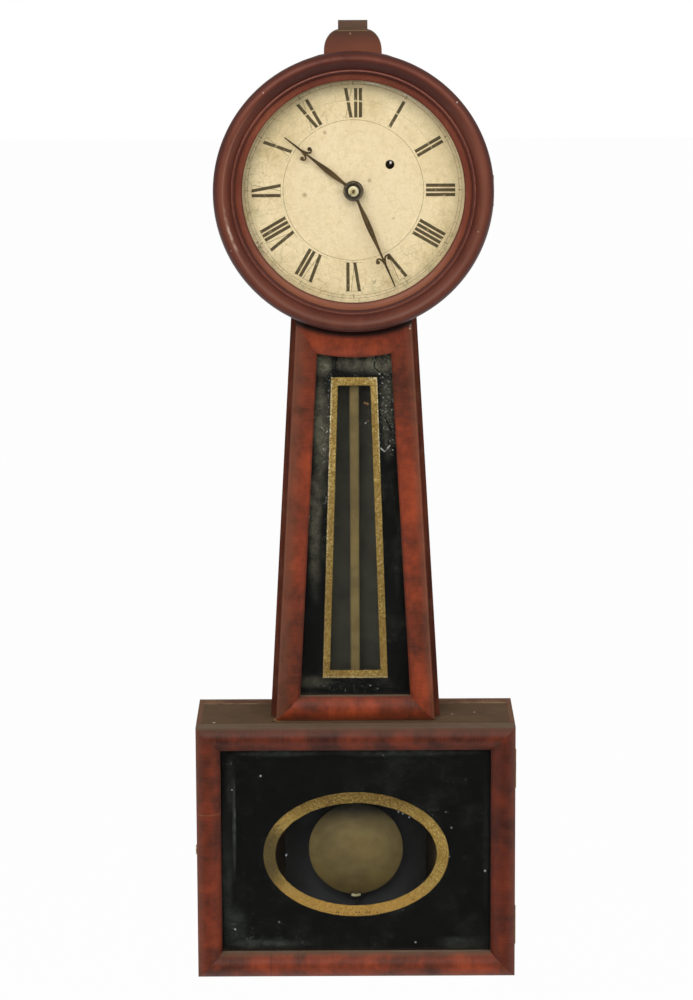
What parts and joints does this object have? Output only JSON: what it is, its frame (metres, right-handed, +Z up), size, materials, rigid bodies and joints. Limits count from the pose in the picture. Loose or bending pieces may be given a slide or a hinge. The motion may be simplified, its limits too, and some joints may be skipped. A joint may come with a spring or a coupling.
{
  "type": "banjo clock",
  "caption": "Weight-driven wall clock of banjo form: round head with dial and domed glass, tapered throat, square box with hinged door, pendulum and full movement.",
  "frame": {"origin": "on the wall face of the backboard, behind the centre of the hands", "axes": "+Z up, front faces -Y, +Y into the wall, +X to the right as seen from the front"},
  "size_m": [0.2572, 0.098, 0.7619],
  "materials": {
    "mahogany": "old shellac",
    "mahogany_dark": "dull",
    "mahogany_veneer": "cross-banded veneer, old shellac",
    "mahogany_turned": "turned, old shellac",
    "pine": "dark and dusty",
    "dial_paint": "aged cream paint, fine cracks",
    "glass": "clear",
    "black_paint": "paint on the back of glass",
    "gilt": "leaf on the back of glass",
    "brass": "dull",
    "aged_brass": "aged",
    "steel": "grey",
    "blued_steel": "old bluing",
    "iron": "dull",
    "cord": "twisted gut"
  },
  "bodies": {
    "case": {"backboard": "mahogany_dark", "hanger_plate": "iron", "head_ring": "mahogany", "throat_side_left": "mahogany", "throat_side_right": "mahogany", "box_side_left": "mahogany", "box_side_right": "mahogany", "box_top": "pine", "box_bottom": "mahogany_dark", "plinth": "mahogany", "plinth_block": "mahogany_dark", "throat_stile_left": "mahogany_veneer", "throat_stile_right": "mahogany_veneer", "throat_rail_top": "mahogany_veneer", "throat_rail_bottom": "mahogany_veneer", "throat_glass": "glass", "throat_tablet_paint": "black_paint", "throat_gilt_border": "gilt", "dial": "dial_paint", "door_hinge_upper_case_leaf": "brass", "door_hinge_lower_case_leaf": "brass", "bezel_hinge_case_leaf": "brass", "movement_back_plate": "brass", "movement_front_plate": "brass", "pendulum_bridge": "brass", "weight_baffle": "iron"},
    "bezel": {"bezel": "mahogany_turned", "bezel_glass": "glass", "bezel_hinge_bezel_leaf": "brass"},
    "door": {"door_stile_left": "mahogany_veneer", "door_stile_right": "mahogany_veneer", "door_rail_top": "mahogany_veneer", "door_rail_bottom": "mahogany_veneer", "door_glass": "glass", "door_tablet_paint": "black_paint", "door_gilt_oval": "gilt", "door_keeper_pin": "steel", "door_hinge_upper_door_leaf": "brass", "door_hinge_lower_door_leaf": "brass"},
    "latch": {"door_latch": "brass"},
    "minute": {"cannon_pinion": "brass", "minute_hand": "blued_steel", "hand_collet": "brass"},
    "centre": {"centre_wheel": "brass"},
    "hour": {"hour_wheel": "brass", "hour_hand": "blued_steel"},
    "minute_wheel": {"minute_wheel": "brass"},
    "great": {"great_wheel": "brass"},
    "third": {"third_wheel": "brass"},
    "escape": {"escape_wheel": "brass"},
    "barrel": {"winding_barrel": "steel"},
    "weight": {"driving_weight": "iron", "weight_cord": "cord"},
    "pulley": {"weight_pulley": "brass"},
    "pendulum": {"suspension_spring": "steel", "pendulum_rod": "aged_brass", "anchor": "steel", "crutch": "steel"},
    "bob": {"pendulum_bob": "aged_brass"},
    "nut": {"rating_nut": "brass"}
  },
  "joints": [
    {"name": "bezel_hinge", "type": "hinge", "parent": "case", "child": "bezel", "pos_m": [0.1079, -0.07475, 0], "axis": [0, 0, 1], "range_deg": [0, 100]},
    {"name": "door_hinge", "type": "hinge", "parent": "case", "child": "door", "pos_m": [0.1273, -0.07815, -0.5], "axis": [0, 0, 1], "range_deg": [0, 105]},
    {"name": "door_latch_turn", "type": "hinge", "parent": "case", "child": "latch", "pos_m": [-0.1232, -0.072, -0.5309], "axis": [-1, 0, 0], "range_deg": [0, 55]},
    {"name": "minute_turn", "type": "hinge", "parent": "case", "child": "minute", "pos_m": [0, -0.05, 0], "axis": [0, 1, 0], "continuous": true},
    {"name": "hour_turn", "type": "hinge", "parent": "case", "child": "hour", "pos_m": [0, -0.06, 0], "axis": [0, 1, 0], "continuous": true},
    {"name": "minute_wheel_turn", "type": "hinge", "parent": "case", "child": "minute_wheel", "pos_m": [-0.01273, -0.048, -0.01273], "axis": [0, 1, 0], "continuous": true},
    {"name": "third_wheel_turn", "type": "hinge", "parent": "case", "child": "third", "pos_m": [-0.0205, -0.03, 0.008], "axis": [0, 1, 0], "continuous": true},
    {"name": "centre_wheel_turn", "type": "hinge", "parent": "case", "child": "centre", "pos_m": [0, -0.035, 0], "axis": [0, 1, 0], "continuous": true},
    {"name": "escape_wheel_turn", "type": "hinge", "parent": "case", "child": "escape", "pos_m": [-0.012, -0.035, 0.027], "axis": [0, 1, 0], "continuous": true},
    {"name": "great_wheel_turn", "type": "hinge", "parent": "case", "child": "great", "pos_m": [0.0285, -0.025, 0.0199], "axis": [0, 1, 0], "continuous": true},
    {"name": "weight_rise", "type": "slide", "parent": "case", "child": "weight", "axis": [0, 0, 1], "range_m": [0, 0.3788], "deforming": ["weight_cord"]},
    {"name": "winding_turn", "type": "hinge", "parent": "case", "child": "barrel", "pos_m": [0.0285, -0.033, 0.0199], "axis": [0, 1, 0], "range_deg": [0, 4320]},
    {"name": "pulley_turn", "type": "hinge", "parent": "weight", "child": "pulley", "pos_m": [0.00545, -0.031, -0.4449], "axis": [0, 1, 0], "range_deg": [-1680, 0]},
    {"name": "pendulum_swing", "type": "hinge", "parent": "case", "child": "pendulum", "pos_m": [0, -0.0544, 0.04275], "axis": [0, 1, 0], "range_deg": [-3, 3]},
    {"name": "bob_rise", "type": "slide", "parent": "pendulum", "child": "bob", "axis": [0, 0, 1], "range_m": [-0.0024, 0.0024]},
    {"name": "rating_nut_turn", "type": "hinge", "parent": "bob", "child": "nut", "pos_m": [0, -0.0544, -0.575], "axis": [0, 0, 1], "range_deg": [-1090, 1090]}
  ],
  "couplings": [
    {"joint": "hour_turn", "follows": "minute_turn", "ratio": 0.083333},
    {"joint": "minute_wheel_turn", "follows": "minute_turn", "ratio": -0.33333},
    {"joint": "centre_wheel_turn", "follows": "third_wheel_turn", "ratio": -0.1},
    {"joint": "escape_wheel_turn", "follows": "third_wheel_turn", "ratio": -8},
    {"joint": "great_wheel_turn", "follows": "third_wheel_turn", "ratio": 0.00625},
    {"joint": "winding_turn", "follows": "weight_rise", "rad_per_m": 199},
    {"joint": "pulley_turn", "follows": "weight_rise", "rad_per_m": -76.923},
    {"joint": "rating_nut_turn", "follows": "bob_rise", "rad_per_m": 7854}
  ]
}
